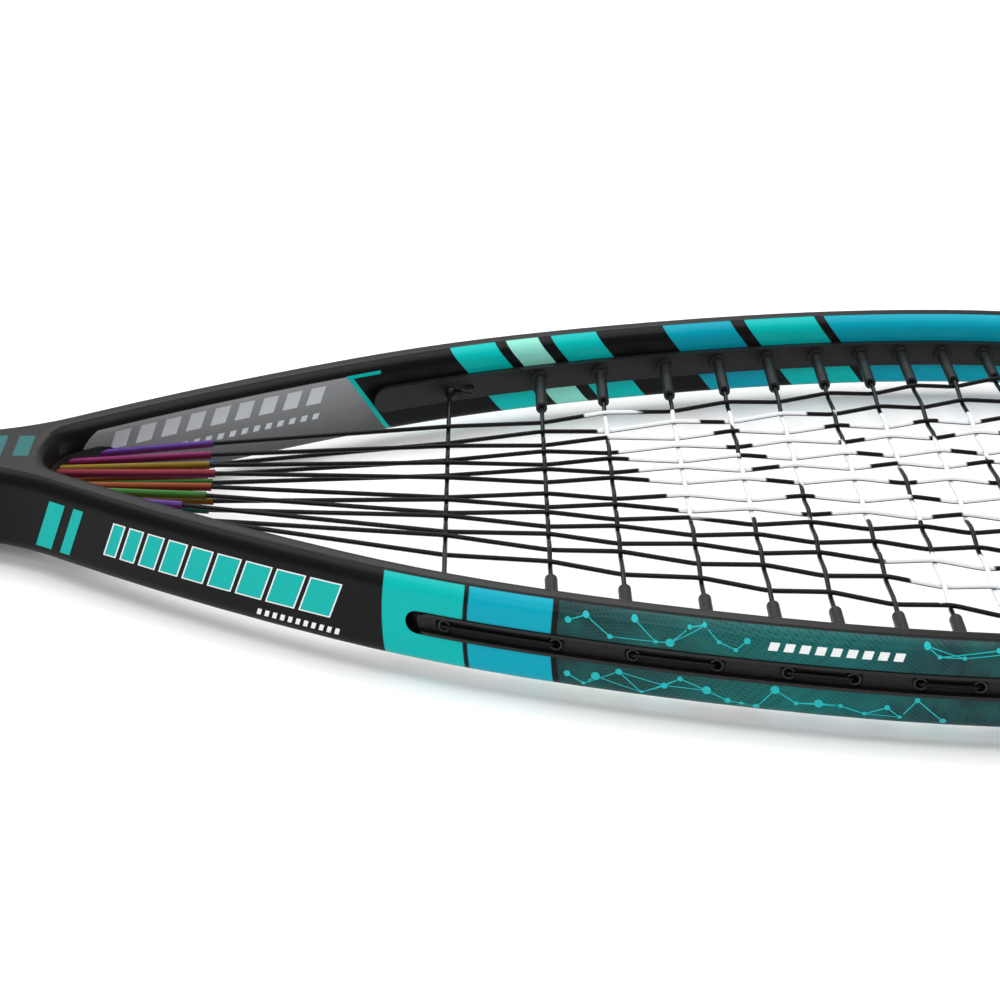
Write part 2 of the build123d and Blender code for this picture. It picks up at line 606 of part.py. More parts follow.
# ---------------------------------------------------------------- throat grommet that holds the tubes in the slot
g = slab(inner_face(-IN_W + 2.6, APEX_X - 2.6, APEX_R + 2.6, APEX_CORNER + 2.6), -3.5, 3.5) - \
    slab(inner_face(-IN_W - 1.0, APEX_X + 1.0, APEX_R - 1.0, APEX_CORNER - 1.0), -4, 4)
gbox = fillet((Pos(-95.5, 0, 0) * Box(32.6, 41.8, 7.0)).edges().filter_by(Axis.X), 2.4)
g = g & gbox
for j in range(1, 15):
    z = tube_z(j)
    p = (BEND_A + 0.0, main_xy(j, BEND_A), z)
    q = (TUBE_END[j - 1], main_xy(j, TUBE_END[j - 1]), z)
    back = (BEND_A - 6, main_xy(j, BEND_A - 6), z)
    g = g - bar(back, q, TUBE_R + 0.04)
nodes["throat_grommet"] = g

# ---------------------------------------------------------------- butt end: anchor block, pin, pallets, wrap, cap
block = octagon(23.0, 15.0, 3.2, -274.8, SHAFT_END - 0.1) - rrect(18.9, 5.2, 1.0, -276.0, -267.0)
block = block - bar((PIN_X, -11.2, 0), (PIN_X, 11.2, 0), 0.92)
nodes["string_anchor"] = block
nodes["anchor_pin"] = bar((PIN_X, -11.0, 0), (PIN_X, 11.0, 0), 0.88)

PAL_W, PAL_H, PAL_C = 26.5, 22.0, 6.2
pal_x0, pal_x1 = SHAFT_END, -133.3
shell = octagon(PAL_W, PAL_H, PAL_C, -257.0, pal_x1) + octagon(PAL_W - 2, PAL_H - 2, PAL_C - 0.6, pal_x0, -256.9)
shell = shell - octagon(2 * SHAFT_HW + 0.1, 2 * SHAFT_HH + 0.1, 4.6, -290, -120)
staple_z = PAL_H / 2 - 1.0
legs = [bar((-262.0, sy, sz * 8.9), (-262.0, sy, sz * 13), 0.42) for sy in (-3.0, 3.0) for sz in (1, -1)]
for q in legs:
    shell = shell - q
half = Pos(-200, 0, 50) * Box(200, 100, 100)
nodes["pallet_upper"] = shell & (Pos(-200, 0, 50.03) * Box(200, 100, 100))
nodes["pallet_lower"] = shell & (Pos(-200, 0, -50.03) * Box(200, 100, 100))

wrap = octagon(29.5, 25.0, 6.9, -268.8, -136.0, 1.2) - octagon(PAL_W + 0.06, PAL_H + 0.06, PAL_C, -270, -130)
wrap = wrap - Pos(-262.0, 0, 0) * Box(1.3, 7.4, 24.0)
nodes["grip_wrap"] = wrap
nodes["finish_tape"] = octagon(30.1, 25.6, 7.1, -146.0, -136.4, 1.2) - octagon(29.54, 25.04, 6.92, -150, -130, 1.2)
collar = octagon(32.4, 27.9, 7.8, -150.0, -132.3, 1.6)
collar = fillet([e for e in collar.edges() if abs(e.center().X + 150.0) < 0.05 or abs(e.center().X + 132.3) < 0.05], 0.9)
collar = collar - octagon(30.14, 25.64, 7.12, -151.0, -133.2, 1.2) - rrect(2 * NECK_W + 0.1, BEAM_H + 0.1, EDGE_R, -135, -131)
nodes["grip_collar"] = collar

cap = octagon(34.0, 30.0, 8.6, X_BUTT, -269.2, 2.2)
cap = fillet([e for e in cap.edges() if abs(e.center().X - X_BUTT) < 0.05], 2.2)
cap = fillet([e for e in cap.edges() if abs(e.center().X + 269.2) < 0.05], 1.0)
cap = cap + octagon(PAL_W - 0.02, PAL_H - 0.02, PAL_C - 0.05, -270.0, -257.1)
cap = cap - octagon(PAL_W - 1.96, PAL_H - 1.96, PAL_C - 0.58, -276.4, -250.0)
OPEN_Y, OPEN_W, OPEN_H = -3.6, 15.0, 12.0
cap = cap - Pos(0, OPEN_Y, 0) * rrect(OPEN_W, OPEN_H, 3.0, X_BUTT - 1, -276.0)
cap = cap - bar((X_BUTT - 1, 9.3, 0), (-276.0, 9.3, 0), 2.5)
for q in legs:
    cap = cap - q
for sz in (1, -1):
    cap = cap - Pos(-262.0, 0, sz * 11.1) * Box(0.9, 7.0, 0.7)
nodes["butt_cap"] = cap

plug = Pos(0, OPEN_Y, 0) * rrect(OPEN_W - 0.16, OPEN_H - 0.16, 2.92, X_BUTT + 0.2, -276.0)
plug = fillet([e for e in plug.edges() if abs(e.center().X - X_BUTT - 0.2) < 0.05], 0.5)
plug = plug - Pos(X_BUTT, OPEN_Y - 5.6, 0) * Box(2.2, 2.6, 5.0)
nodes["end_plug"] = plug

staples = []
for sz in (1, -1):
    crown = Pos(-262.0, 0, sz * 11.02) * Box(0.76, 6.8, 0.4)
    st = crown
    for sy in (-3.0, 3.0):
        st = st + bar((-262.0, sy, sz * 9.0), (-262.0, sy, sz * 11.0), 0.36)
    staples.append(st)
nodes["butt_staples"] = Compound(staples)

# knot of the cross string: a bead round the first run where it leaves the rib, with a short tail
bead_y = cross_in[0] - STRIP_T - 2.4
bead = Pos(CROSS_X[0] + 0.5, bead_y, 0) * Sphere(1.75)
tail = rod([(CROSS_X[0] + 1.4, bead_y - 0.7, 0.9), (CROSS_X[0] + 3.6, bead_y - 2.6, 1.5), (CROSS_X[0] + 6.4, bead_y - 3.4, 1.2)], 1.5, 0.6)
knot = bead + tail - bar((CROSS_X[0], bead_y - 12, 0), (CROSS_X[0], bead_y + 12, 0), STRING_R + 0.14)
keep = sorted(knot.solids(), key=lambda q: -q.volume)[0]
nodes["string_knot"] = keep

for name, shape in nodes.items():
    shape = Pos(0, 0, ZC) * shape
    sol = shape.solids()
    bb = shape.bounding_box()
    print("%-20s solids %d valid %s vol %.0f  x %.1f %.1f y %.1f %.1f z %.2f %.2f" % (
        name, len(sol), all(q.is_valid for q in sol), sum(q.volume for q in sol), bb.min.X, bb.max.X, bb.min.Y, bb.max.Y, bb.min.Z, bb.max.Z))
    out = sol[0] if len(sol) == 1 else Compound(sol)
    export_step(out, "parts/%s.step" % name)
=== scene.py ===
import bpy, math
import numpy as np
from mathutils import Vector, Matrix


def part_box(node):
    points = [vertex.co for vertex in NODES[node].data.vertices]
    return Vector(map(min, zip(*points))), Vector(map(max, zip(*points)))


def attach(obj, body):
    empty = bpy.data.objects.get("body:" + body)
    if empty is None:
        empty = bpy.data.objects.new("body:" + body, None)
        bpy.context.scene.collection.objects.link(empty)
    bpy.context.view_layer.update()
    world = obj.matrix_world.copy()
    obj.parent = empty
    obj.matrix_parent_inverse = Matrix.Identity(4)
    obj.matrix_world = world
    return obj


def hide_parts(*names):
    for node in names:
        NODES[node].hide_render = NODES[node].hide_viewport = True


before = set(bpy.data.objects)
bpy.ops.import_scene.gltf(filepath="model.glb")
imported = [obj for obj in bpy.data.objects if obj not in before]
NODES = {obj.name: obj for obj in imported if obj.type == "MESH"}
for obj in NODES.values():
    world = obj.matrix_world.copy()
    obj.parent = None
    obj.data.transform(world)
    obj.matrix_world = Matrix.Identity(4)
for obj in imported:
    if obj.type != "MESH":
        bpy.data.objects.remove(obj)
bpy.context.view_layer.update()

MM = 0.001

# ------------------------------------------------------------------ sizes read from the frame
f_lo, f_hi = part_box("frame")
s_lo, s_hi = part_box("outer_strip")
ZC = (f_lo.z + f_hi.z) / 2 / MM
HH = (f_hi.z - f_lo.z) / 2 / MM
X_TIP = s_hi.x / MM
Y_OUT = f_hi.y / MM


# ------------------------------------------------------------------ node helpers
class Mat:
    """a node material written as expressions"""

    def __init__(self, name):
        self.m = bpy.data.materials.new(name)
        self.m.use_nodes = True
        self.t = self.m.node_tree
        self.b = self.t.nodes["Principled BSDF"]
        self._xyz = None

    def n(self, kind, **kw):
        q = self.t.nodes.new(kind)
        for k, v in kw.items():
            setattr(q, k, v)
        return q

    def put(self, sock, v):
        if isinstance(v, (int, float)):
            sock.default_value = v
        elif isinstance(v, (tuple, list)):
            sock.default_value = tuple(v) + ((1.0,) if len(v) == 3 and len(sock.default_value) == 4 else ())
        else:
            self.t.links.new(v, sock)

    def f(self, op, a, b=0.0, c=0.0, clamp=False):
        q = self.n("ShaderNodeMath", operation=op, use_clamp=clamp)
        self.put(q.inputs[0], a)
        self.put(q.inputs[1], b)
        self.put(q.inputs[2], c)
        return q.outputs[0]

    def add(self, a, b): return self.f("ADD", a, b)
    def sub(self, a, b): return self.f("SUBTRACT", a, b)
    def mul(self, a, b): return self.f("MULTIPLY", a, b)
    def mx(self, a, b): return self.f("MAXIMUM", a, b)
    def mn(self, a, b): return self.f("MINIMUM", a, b)
    def inv(self, a): return self.f("SUBTRACT", 1.0, a)

    def over(self, v, edge, w=0.12):
        """0 below edge, 1 above it, with a narrow ramp"""
        return self.f("MULTIPLY_ADD", v, 1.0 / w, -edge / w + 0.5, clamp=True) if not hasattr(edge, "links") else \
            self.f("ADD", self.f("MULTIPLY", self.f("SUBTRACT", v, edge), 1.0 / w), 0.5, clamp=True)

    def between(self, v, a, b, w=0.12):
        return self.mul(self.over(v, a, w), self.inv(self.over(v, b, w)))

    def mix(self, fac, a, b, blend="MIX"):
        q = self.n("ShaderNodeMix", data_type="RGBA", blend_type=blend)
        self.put(q.inputs["Factor"], fac)
        self.put(q.inputs[6], a)
        self.put(q.inputs[7], b)
        return q.outputs[2]

    def ramp(self, fac, stops, interp="LINEAR"):
        q = self.n("ShaderNodeValToRGB")
        q.color_ramp.interpolation = interp
        e = q.color_ramp.elements
        while len(e) < len(stops):
            e.new(0.5)
        for k, (p, c) in zip(e, stops):
            k.position = p
            k.color = tuple(c) + (1.0,) if len(c) == 3 else c
        self.put(q.inputs[0], fac)
        return q.outputs[0]

    def obj(self):
        """object position in millimetres, as a vector socket"""
        if self._xyz is None:
            tc = self.n("ShaderNodeTexCoord")
            q = self.n("ShaderNodeVectorMath", operation="SCALE")
            self.t.links.new(tc.outputs["Object"], q.inputs[0])
            q.inputs[3].default_value = 1000.0
            s = self.n("ShaderNodeSeparateXYZ")
            self.t.links.new(q.outputs[0], s.inputs[0])
            self._xyz = (q.outputs[0], s.outputs[0], s.outputs[1], s.outputs[2])
        return self._xyz

    def normal(self):
        g = self.n("ShaderNodeNewGeometry")
        s = self.n("ShaderNodeSeparateXYZ")
        self.t.links.new(g.outputs["Normal"], s.inputs[0])
        return s.outputs

    def scaled(self, sx, sy, sz):
        q = self.n("ShaderNodeVectorMath", operation="MULTIPLY")
        self.t.links.new(self.obj()[0], q.inputs[0])
        q.inputs[1].default_value = (sx, sy, sz)
        return q.outputs[0]

    def noise(self, scale, detail=3.0, rough=0.5, vec=None, color=False):
        q = self.n("ShaderNodeTexNoise")
        self.put(q.inputs["Vector"], vec if vec is not None else self.obj()[0])
        q.inputs["Scale"].default_value = scale
        q.inputs["Detail"].default_value = detail
        q.inputs["Roughness"].default_value = rough
        return q.outputs["Color" if color else "Fac"]

    def voronoi(self, scale, feature="F1", out="Distance", vec=None, rnd=1.0):
        q = self.n("ShaderNodeTexVoronoi", feature=feature)
        self.put(q.inputs["Vector"], vec if vec is not None else self.obj()[0])
        q.inputs["Scale"].default_value = scale
        q.inputs["Randomness"].default_value = rnd
        return q.outputs[out]

    def comb(self, x, y, z=0.0):
        q = self.n("ShaderNodeCombineXYZ")
        for s, v in zip(q.inputs, (x, y, z)):
            self.put(s, v)
        return q.outputs[0]

    def bump(self, h, strength=0.3, dist=0.0002):
        q = self.n("ShaderNodeBump")
        q.inputs["Strength"].default_value = strength
        q.inputs["Distance"].default_value = dist
        self.put(q.inputs["Height"], h)
        self.t.links.new(q.outputs[0], self.b.inputs["Normal"])

    def out(self, color=None, rough=None, metal=0.0, spec=0.5, coat=0.0, coat_rough=0.1, **more):
        if color is not None:
            self.put(self.b.inputs["Base Color"], color)
        if rough is not None:
            self.put(self.b.inputs["Roughness"], rough)
        self.b.inputs["Metallic"].default_value = metal
        self.b.inputs["Specular IOR Level"].default_value = spec
        self.b.inputs["Coat Weight"].default_value = coat
        self.b.inputs["Coat Roughness"].default_value = coat_rough
        for k, v in more.items():
            self.b.inputs[k.replace("_", " ")].default_value = v
        return self.m


TEAL = (0.0, 0.45, 0.40)
CYAN = (0.0, 0.36, 0.50)
MINT = (0.27, 0.74, 0.62)
BLACK = (0.012, 0.012, 0.013)
WHITE = (0.85, 0.86, 0.86)


# ------------------------------------------------------------------ frame paint
def frame_paint():
    m = Mat("frame_paint")
    P, X, Y, Z = m.obj()
    nx, ny, nz = m.normal()
    side = m.f("SIGN", Y)
    no = m.mul(ny, side)                                   # towards the outside of the hoop
    outer = m.mul(m.over(no, 0.10, 0.05), m.inv(m.over(nz, 0.945, 0.03)))
    inner = m.mul(m.inv(m.over(no, -0.10, 0.05)), m.inv(m.over(nz, m.sub(0.978, m.mul(m.inv(m.over(Y, 0.0, 1.0)), 0.14)), 0.02)))
    # black lacquer with a faint carbon weave and dust
    weave_v = m.scaled(1.0, 1.0, 1.0)
    wv = m.n("ShaderNodeTexWave", wave_type="BANDS", bands_direction="DIAGONAL")
    m.put(wv.inputs["Vector"], weave_v)
    wv.inputs["Scale"].default_value = 0.9
    wv.inputs["Distortion"].default_value = 0.0
    fleck = m.noise(7.0, 2.0)
    base = m.mix(m.mul(wv.outputs["Fac"], 0.5), (0.0030, 0.0030, 0.0033), (0.0068, 0.0068, 0.0076))
    base = m.mix(m.mul(m.over(fleck, 0.72, 0.1), 0.5), base, (0.03, 0.03, 0.031))

    # ---- outer face
    col = base
    # solid panels
    bow = m.mul(m.f("POWER", m.f("ABSOLUTE", m.f("DIVIDE", m.sub(Z, 16.0), 10.0)), 2.0), 0.7)
    XP = m.sub(X, bow)
    rub = m.noise(0.6, 4.0)
    teal = m.mix(m.f("MULTIPLY", rub, 0.35), (0.0, 0.42, 0.40), (0.0, 0.475, 0.43))
    col = m.mix(m.between(XP, -6.6, 12.0, 0.25), col, teal)
    cy = m.mix(m.f("MULTIPLY", rub, 0.35), (0.0, 0.335, 0.45), (0.0, 0.38, 0.48))
    col = m.mix(m.between(XP, 13.1, 32.1, 0.25), col, cy)
    # long gradient with fine lines; the network of dots is laid on as marks further down
    g = m.ramp(m.f("DIVIDE", m.sub(X, 33.5), 110.0, clamp=True), [
        (0.0, (0.012, 0.05, 0.052)), (0.22, (0.016, 0.12, 0.115)), (0.45, (0.006, 0.20, 0.185)), (0.62, (0.008, 0.14, 0.15)),
        (0.80, (0.018, 0.065, 0.07)), (1.0, (0.02, 0.035, 0.038))])
    def rings(cx, cz, k):
        dd = m.f("SQRT", m.add(m.f("POWER", m.sub(X, cx), 2.0), m.f("POWER", m.sub(Z, cz), 2.0)))
        return m.f("SINE", m.mul(dd, k))
    fine = m.mul(m.over(rings(55.0, -60.0, 7.5), 0.0, 0.9), m.over(rings(150.0, 75.0, 6.8), -0.1, 0.9))
    g = m.mix(0.45, g, (0.008, 0.026, 0.028))
    g = m.mix(m.mul(fine, 0.42), g, (0.002, 0.008, 0.009))
    glow = m.over(m.noise(0.11, 3.0), 0.56, 0.25)
    g = m.mix(m.mul(glow, 0.20), g, (0.008, 0.24, 0.21))
    col = m.mix(m.over(XP, 33.5, 0.25), col, g)
    gx = m.mx(m.sub(1.75, X), 0.0)
    gr = m.f("SQRT", m.add(m.mul(gx, gx), m.f("POWER", m.sub(Z, ZC), 2.0)))
    in_groove = m.mul(m.inv(m.over(gr, 2.86, 0.12)), m.over(X, -1.4, 0.2))
    col = m.mix(in_groove, col, (0.004, 0.004, 0.0045))
    outer_col = col

    # ---- inner face
    grey = m.ramp(m.f("DIVIDE", m.sub(Z, 5.0), 20.0, clamp=True), [(0.0, (0.045, 0.047, 0.05)), (0.45, (0.15, 0.155, 0.16)), (1.0, (0.33, 0.335, 0.345))])
    grey = m.mix(m.mul(m.noise(1.2, 3.0), 0.25), grey, (0.2, 0.2, 0.21))
    UX = m.sub(X, m.mul(Z, 0.35))
    u2 = m.f("DIVIDE", m.add(UX, 100.0), 6.2)
    f2 = m.f("FRACT", u2)
    bars = m.mul(m.mul(m.between(f2, 0.08, 0.70, 0.02), m.between(Z, 17.0, 21.6, 0.2)), m.between(UX, -87.6, -32.2, 0.1))
    f3 = m.f("FRACT", m.f("DIVIDE", m.add(UX, 100.0), 3.1))
    small = m.mul(m.mul(m.between(f3, 0.14, 0.64, 0.04), m.between(Z, 12.6, 14.2, 0.2)), m.between(UX, -72.1, -32.2, 0.1))
    grey = m.mix(m.mul(m.mx(bars, small), 0.85), grey, (0.60, 0.62, 0.64))
    # chevron line where grey gives way to carbon
    kx = m.add(-20.3, m.mul(m.f("MAXIMUM", m.sub(22.6, Z), 0.0), 0.60))
    past = m.over(X, kx, 0.2)
    line = m.mul(past, m.inv(m.over(m.sub(X, kx), 1.3, 0.2)))
    bar_top = m.mul(m.between(Z, 22.2, 23.1, 0.2), m.between(X, -20.6, -11.4, 0.2))
    line = m.mx(m.mul(line, m.inv(m.over(Z, 23.1, 0.2))), bar_top)
    edge_x = m.add(-88.0, m.mul(m.f("POWER", m.f("ABSOLUTE", m.f("DIVIDE", m.sub(Z, 14.5), 9.0)), 3.0), 5.0))
    panel = m.mul(m.mul(m.inv(past), m.between(Z, 2.0, 22.9, 0.3)), m.over(X, edge_x, 0.3))
    icol = m.mix(panel, base, grey)
    icol = m.mix(line, icol, (0.0, 0.42, 0.38))
    S = m.sub(X, m.mul(m.sub(26.2, Z), 0.74))
    for a, b, c in ((7.1, 19.7, (0.0, 0.50, 0.47)), (22.8, 31.9, MINT), (35.6, 48.5, (0.0, 0.48, 0.46)), (67.9, 87.7, (0.0, 0.33, 0.44)),
                    (91.8, 112.4, (0.0, 0.47, 0.45)), (115.3, 178.0, (0.0, 0.34, 0.46)), (182.0, 204.0, (0.0, 0.40, 0.38))):
        icol = m.mix(m.between(S, a, b, 0.2), icol, c)
    inner_col = icol

    # ---- top faces: plain, with two generic bars on the neck
    t2 = m.f("FRACT", m.f("DIVIDE", m.add(X, 133.0), 7.4))
    neck = m.mul(m.mul(m.between(X, -121.0, -98.5, 0.2), m.between(t2, 0.12, 0.72, 0.03)), m.between(m.f("ABSOLUTE", m.sub(Y, 0.8)), -1.0, 7.2, 0.2))
    top_col = m.mix(m.mul(neck, m.over(nz, 0.5, 0.1)), base, (0.0, 0.115, 0.118))

    col = m.mix(outer, top_col, outer_col)
    col = m.mix(inner, col, inner_col)
    ro = m.f("MULTIPLY_ADD", m.noise(2.5, 4.0), 0.14, 0.24)
    h = m.add(m.mul(m.noise(9.0, 3.0), 0.5), m.mul(wv.outputs["Fac"], 0.12))
    m.bump(h, 0.10, 0.00008)
    return m.out(col, ro, spec=0.11, coat=0.0)


def grained(name, color, rough=0.62, grain=14.0, strength=0.45, dist=0.00012, spec=0.4, vary=1.8):
    m = Mat(name)
    n1 = m.noise(grain, 4.0, 0.6)
    n2 = m.noise(0.35, 3.0)
    dark = tuple(c * 0.7 for c in color)
    light = tuple(min(1.0, c * vary) for c in color)
    col = m.mix(n2, dark, color)
    col = m.mix(m.over(n1, 0.62, 0.2), col, light)
    m.bump(n1, strength, dist)
    return m.out(col, m.f("MULTIPLY_ADD", n1, 0.25, rough - 0.12), spec=spec)


def string_mat():
    m = Mat("string_gloss")
    P, X, Y, Z = m.obj()
    # pale stencil ink: slanted bands across the middle mains, upper side only
    S = m.add(X, m.mul(Y, 0.324))
    bands = None
    for a, b in ((61.8, 92.0), (99.5, 124.0), (131.5, 150.0), (157.5, 170.0), (177.0, 184.0)):
        q = m.between(S, a, b, 0.6)
        bands = q if bands is None else m.mx(bands, q)
    ink = m.mul(bands, m.between(Y, -22.0, 57.0, 0.6))
    ink = m.mx(ink, m.mul(m.between(S, 99.5, 124.0, 0.6), m.between(Y, -75.0, -43.0, 0.6)))
    ink = m.mul(ink, m.over(m.noise(3.0, 3.0), 0.26, 0.10))
    ny = m.normal()
    ink = m.mul(ink, m.over(ny[2], -0.25, 0.3))
    base = m.mix(m.noise(1.5, 2.0), (0.0015, 0.0015, 0.002), (0.005, 0.005, 0.006))
    col = m.mix(ink, base, (0.80, 0.81, 0.83))
    tw = m.n("ShaderNodeTexWave", wave_type="BANDS", bands_direction="DIAGONAL")
    m.put(tw.inputs["Vector"], m.obj()[0])
    tw.inputs["Scale"].default_value = 1.6
    m.bump(m.add(m.mul(tw.outputs["Fac"], 0.6), m.mul(m.noise(12.0), 0.4)), 0.22, 0.00006)
    return m.out(col, m.f("MULTIPLY_ADD", ink, 0.22, 0.24), spec=0.13, coat=0.0)


def tube_mat(name, ca, cb):
    """sleeve with painted light: the colour shifts round the tube by the surface normal, with painted shade underneath
    and a painted highlight on top, and along it by noise streaks
    """
    m = Mat(name)
    P, X, Y, Z = m.obj()
    nz = m.normal()[2]
    # brightness keyed to the surface normal: painted shade underneath, painted highlight on top
    k = m.f("MULTIPLY_ADD", nz, 0.5, 0.5, clamp=True)
    streak = m.noise(1.0, 3.0, 0.5, m.comb(m.mul(X, 0.03), m.mul(Y, 1.4), m.mul(Z, 1.4)))
    painted_light_and_streak = m.f("ADD", m.mul(k, 0.75), m.mul(streak, 0.35), clamp=True)
    col = m.ramp(painted_light_and_streak, [(0.0, tuple(c * 0.05 for c in cb)), (0.48, tuple(c * 0.16 for c in cb)), (0.76, tuple(c * 0.16 for c in ca)), (1.0, tuple(c * 0.34 for c in ca))])
    # streak noise bumps the whole sleeve
    m.bump(streak, 0.15, 0.0001)
    return m.out(col, m.f("MULTIPLY_ADD", streak, 0.12, 0.14), spec=0.10, coat=0.0)


def steel_mat():
    m = Mat("steel_pin")
    n1 = m.noise(1.0, 3.0, 0.5, m.scaled(6.0, 0.3, 6.0))
    m.bump(n1, 0.15, 0.0001)
    return m.out(m.mix(n1, (0.42, 0.42, 0.43), (0.62, 0.62, 0.63)), m.f("MULTIPLY_ADD", n1, 0.2, 0.22), metal=1.0)


PAINT = frame_paint()
RIB = grained("strip_grain", (0.0045, 0.0045, 0.0050), 0.42, 4.2, 0.75, 0.00022, 0.32, 2.8)
STRING = string_mat()
CAP = grained("cap_grain", (0.014, 0.014, 0.015), 0.50, 9.0, 0.35, 0.00010)
COLLAR = grained("collar_rubber", (0.011, 0.011, 0.012), 0.70, 7.0, 0.5, 0.00015, 0.3)
PALLET = grained("pallet_foam", (0.09, 0.088, 0.085), 0.8, 4.0, 0.6, 0.0003, 0.3)
TAPE = grained("tape_vinyl", (0.035, 0.035, 0.037), 0.42, 6.0, 0.2, 0.0001)
ANCHOR = grained("anchor_plastic", (0.07, 0.07, 0.07), 0.5, 8.0, 0.3, 0.0001)
STEEL = steel_mat()
# per sleeve: the first hue carries the painted highlight on the top, the second the painted shade underneath
_P = {"purple": ((0.34, 0.14, 0.86), (0.55, 0.02, 0.30)), "blue": ((0.05, 0.30, 0.78), (0.20, 0.06, 0.60)), "magenta": ((0.72, 0.06, 0.36), (0.40, 0.01, 0.06)),
      "orange": ((0.88, 0.18, 0.03), (0.60, 0.02, 0.02)), "yellow": ((0.74, 0.46, 0.02), (0.62, 0.14, 0.01)), "green": ((0.10, 0.56, 0.07), (0.34, 0.30, 0.01)),
      "red": ((0.80, 0.07, 0.12), (0.46, 0.01, 0.16)), "darkgreen": ((0.02, 0.38, 0.15), (0.01, 0.20, 0.22)), "cyan": ((0.01, 0.52, 0.70), (0.03, 0.12, 0.60))}
_ORDER = ["purple", "blue", "magenta", "orange", "yellow", "green", "red", "orange", "yellow", "green", "darkgreen", "purple", "blue", "cyan"]
TUBES = {i + 1: _P[c] for i, c in enumerate(_ORDER)}


def smooth(o, angle=35.0):
    for p in o.data.polygons:
        p.use_smooth = True
    try:
        o.data.set_sharp_from_angle(angle=math.radians(angle))
    except AttributeError:
        pass


def dress(node, mat, angle=35.0):
    o = NODES[node]
    o.data.materials.clear()
    o.data.materials.append(mat)
    return o


dress("frame", PAINT)
for q in ("outer_strip", "inner_strip_left", "inner_strip_right", "tip_strip", "throat_grommet"):
    dress(q, RIB)
for q in ("main_string", "cross_string", "string_knot"):
    dress(q, STRING)
for j in range(1, 15):
    dress("string_tube_%02d" % j, tube_mat("tube_%02d" % j, *TUBES[j]))
dress("butt_cap", CAP)
dress("end_plug", CAP)
dress("grip_collar", COLLAR)
dress("finish_tape", TAPE)
dress("grip_wrap", COLLAR)
dress("pallet_upper", PALLET)
dress("pallet_lower", PALLET)
dress("string_anchor", ANCHOR)
dress("anchor_pin", STEEL)
dress("butt_staples", STEEL)

# ------------------------------------------------------------------ painted marks laid on the hoop
from mathutils.bvhtree import BVHTree
import random

hoop = NODES["frame"]
TREE = BVHTree.FromPolygons([v.co.copy() for v in hoop.data.vertices], [tuple(p.vertices) for p in hoop.data.polygons])


def on_hoop(x, z, side, lift):
    """point on the outer face at x, z (mm); side -1 or 1 in y"""
    start = Vector((x * MM, side * 0.2, z * MM))
    hit, nor, _, _ = TREE.ray_cast(start, Vector((0.0, -side, 0.0)))
    if hit is None or abs(nor.y) < 0.15:
        return None
    if nor.y * side < 0:
        nor = -nor
    return hit + nor * lift * MM


def flat_mat(name, ca, cb, rough=0.36):
    m = Mat(name)
    n1 = m.noise(1.3, 4.0)
    m.bump(m.noise(9.0, 3.0), 0.08, 0.00006)
    return m.out(m.mix(n1, ca, cb), m.f("MULTIPLY_ADD", n1, 0.12, rough - 0.06), spec=0.14)


class Marks:
    def __init__(self, name, mat):
        self.name, self.mat, self.v, self.f = name, mat, [], []

    def quad(self, c, side, lift, nu=6, nv=4):
        """c: four (x, z) corners in order; only laid where the face is under it"""
        grid = []
        for i in range(nu + 1):
            for j in range(nv + 1):
                a, b = i / nu, j / nv
                x = (c[0][0] * (1 - a) + c[1][0] * a) * (1 - b) + (c[3][0] * (1 - a) + c[2][0] * a) * b
                z = (c[0][1] * (1 - a) + c[1][1] * a) * (1 - b) + (c[3][1] * (1 - a) + c[2][1] * a) * b
                grid.append(on_hoop(x, z, side, lift))
        base = len(self.v)
        if any(g is None for g in grid):
            return
        ys = [abs(g.y) for g in grid]
        self.v += grid
        for i in range(nu):
            for j in range(nv):
                k = base + i * (nv + 1) + j
                q = (k, k + nv + 1, k + nv + 2, k + 1)
                self.f.append(q if side < 0 else q[::-1])

    def line(self, a, b, w, side, lift):
        dx, dz = b[0] - a[0], b[1] - a[1]
        L = math.hypot(dx, dz)
        nx, nz = -dz / L * w / 2, dx / L * w / 2
        self.quad([(a[0] - nx, a[1] - nz), (b[0] - nx, b[1] - nz), (b[0] + nx, b[1] + nz), (a[0] + nx, a[1] + nz)], side, lift, max(2, int(L / 1.2)), 1)

    def dot(self, c, r, side, lift, n=14):
        mid = on_hoop(c[0], c[1], side, lift)
        ring = [on_hoop(c[0] + r * math.cos(2 * math.pi * k / n), c[1] + r * math.sin(2 * math.pi * k / n), side, lift) for k in range(n)]
        if mid is None or any(q is None for q in ring):
            return
        base = len(self.v)
        self.v += [mid] + ring
        for k in range(n):
            q = (base, base + 1 + k, base + 1 + (k + 1) % n)
            self.f.append(q if side < 0 else q[::-1])

    def make(self, slot):
        me = bpy.data.meshes.new(self.name)
        me.from_pydata([tuple(v) for v in self.v], [], self.f)
        me.update()
        o = bpy.data.objects.new(self.name, me)
        bpy.context.scene.collection.objects.link(o)
        o.data.materials.append(self.mat)
        for p in me.polygons:
            p.use_smooth = True
        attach(o, "racquet")
        return o


